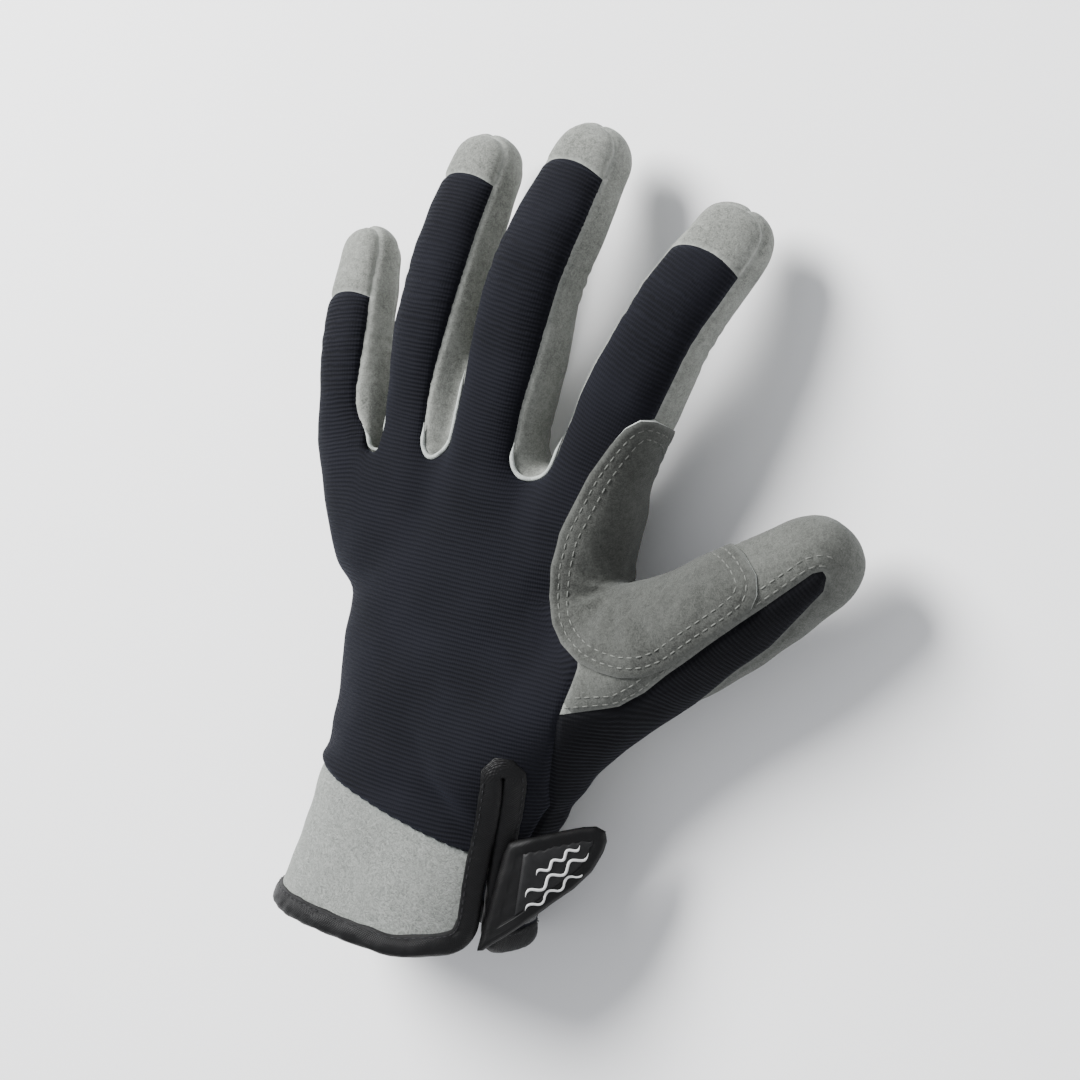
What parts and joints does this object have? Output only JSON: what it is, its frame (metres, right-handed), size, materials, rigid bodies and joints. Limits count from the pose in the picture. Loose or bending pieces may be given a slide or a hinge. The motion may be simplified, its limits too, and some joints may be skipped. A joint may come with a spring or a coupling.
{
  "type": "sailing glove",
  "caption": "Left-hand sailing glove of sewn knit and suede panels, with bending fingers and thumb and a fold-over wrist tab.",
  "frame": {"origin": "middle of the glove's footprint, on the plane its palm patch rests on", "axes": "+Y towards the fingertips, +X towards the thumb, +Z out of the back of the hand"},
  "size_m": [0.175, 0.2245, 0.0498],
  "materials": {
    "knit": "fine transverse ribs, dark navy stretch knit, matt",
    "suede": "brushed synthetic suede, mid grey, matt",
    "cuff_felt": "felt-like grey cuff fabric",
    "web": "turned suede edge, lighter and fuzzy",
    "trim": "black folded binding tape",
    "tab": "black satin-faced tab",
    "label": null,
    "hook_and_loop": "black hook-and-loop tape"
  },
  "bodies": {
    "hand": {"back_panel": "knit", "thumb_side_panel": "knit", "index_side_panel": "suede", "palm_panel": "suede", "palm_patch": "suede", "saddle_patch": "suede", "thumb_root_back": "knit", "thumb_root_wrap": "suede", "web_index_middle": "web", "web_middle_ring": "web", "web_ring_little": "web", "cuff_band": "cuff_felt", "cuff_flap": "knit", "cuff_palm": "knit", "loop_pad": "hook_and_loop", "cuff_binding": "trim", "slit_binding": "trim"},
    "index_base": {"index_base_back": "knit", "index_base_palm": "suede", "index_base_out": "suede"},
    "index_tip": {"index_tip_back": "knit", "index_tip_palm": "suede", "index_tip_out": "suede", "index_cap": "suede"},
    "middle_base": {"middle_base_back": "knit", "middle_base_palm": "suede", "middle_base_in": "suede", "middle_base_out": "suede"},
    "middle_tip": {"middle_tip_back": "knit", "middle_tip_palm": "suede", "middle_tip_in": "suede", "middle_tip_out": "suede", "middle_cap": "suede"},
    "ring_base": {"ring_base_back": "knit", "ring_base_palm": "suede", "ring_base_in": "suede", "ring_base_out": "suede"},
    "ring_tip": {"ring_tip_back": "knit", "ring_tip_palm": "suede", "ring_tip_in": "suede", "ring_tip_out": "suede", "ring_cap": "suede"},
    "little_base": {"little_base_back": "knit", "little_base_palm": "suede", "little_base_in": "suede"},
    "little_tip": {"little_tip_back": "knit", "little_tip_palm": "suede", "little_tip_in": "suede", "little_cap": "suede"},
    "thumb_base": {"thumb_base_back": "knit", "thumb_base_wrap": "suede", "thumb_patch": "suede"},
    "thumb_tip": {"thumb_tip_back": "knit", "thumb_tip_wrap": "suede", "thumb_cap": "suede"},
    "tab": {"closure_tab": "tab", "tab_label": "label", "hook_pad": "hook_and_loop"}
  },
  "joints": [
    {"name": "index_knuckle", "type": "hinge", "parent": "hand", "child": "index_base", "pos_m": [0.01255, 0.03064, 0.022], "axis": [-0.9304, 0.3665, 0], "range_deg": [-12, 70]},
    {"name": "index_middle", "type": "hinge", "parent": "index_base", "child": "index_tip", "pos_m": [0.02592, 0.06457, 0.02268], "axis": [-0.9304, 0.3665, 0], "range_deg": [0, 75]},
    {"name": "middle_knuckle", "type": "hinge", "parent": "hand", "child": "middle_base", "pos_m": [-0.01995, 0.03172, 0.023], "axis": [-0.989, 0.1478, 0], "range_deg": [-12, 70]},
    {"name": "middle_middle", "type": "hinge", "parent": "middle_base", "child": "middle_tip", "pos_m": [-0.01383, 0.07269, 0.02486], "axis": [-0.989, 0.1478, 0], "range_deg": [0, 75]},
    {"name": "ring_knuckle", "type": "hinge", "parent": "hand", "child": "ring_base", "pos_m": [-0.04447, 0.02775, 0.0225], "axis": [-0.9997, 0.0262, 0], "range_deg": [-12, 70]},
    {"name": "ring_middle", "type": "hinge", "parent": "ring_base", "child": "ring_tip", "pos_m": [-0.04349, 0.06516, 0.02451], "axis": [-0.9997, 0.0262, 0], "range_deg": [0, 75]},
    {"name": "little_knuckle", "type": "hinge", "parent": "hand", "child": "little_base", "pos_m": [-0.06748, 0.01864, 0.0205], "axis": [-0.9724, -0.2334, 0], "range_deg": [-12, 70]},
    {"name": "little_middle", "type": "hinge", "parent": "little_base", "child": "little_tip", "pos_m": [-0.0739, 0.04538, 0.02102], "axis": [-0.9724, -0.2334, 0], "range_deg": [0, 75]},
    {"name": "thumb_knuckle", "type": "hinge", "parent": "hand", "child": "thumb_base", "pos_m": [0.02836, -0.01922, 0.0234], "axis": [-0.3064, 0.3954, 0.8659], "range_deg": [-8, 25]},
    {"name": "thumb_middle", "type": "hinge", "parent": "thumb_base", "child": "thumb_tip", "pos_m": [0.05303, 0.00112, 0.02285], "axis": [-0.2445, 0.4426, 0.8627], "range_deg": [0, 45]},
    {"name": "tab_fold", "type": "hinge", "parent": "hand", "child": "tab", "pos_m": [0.00243, -0.08591, 0.0414], "axis": [0, -1, 0], "range_deg": [-8, 100]}
  ]
}
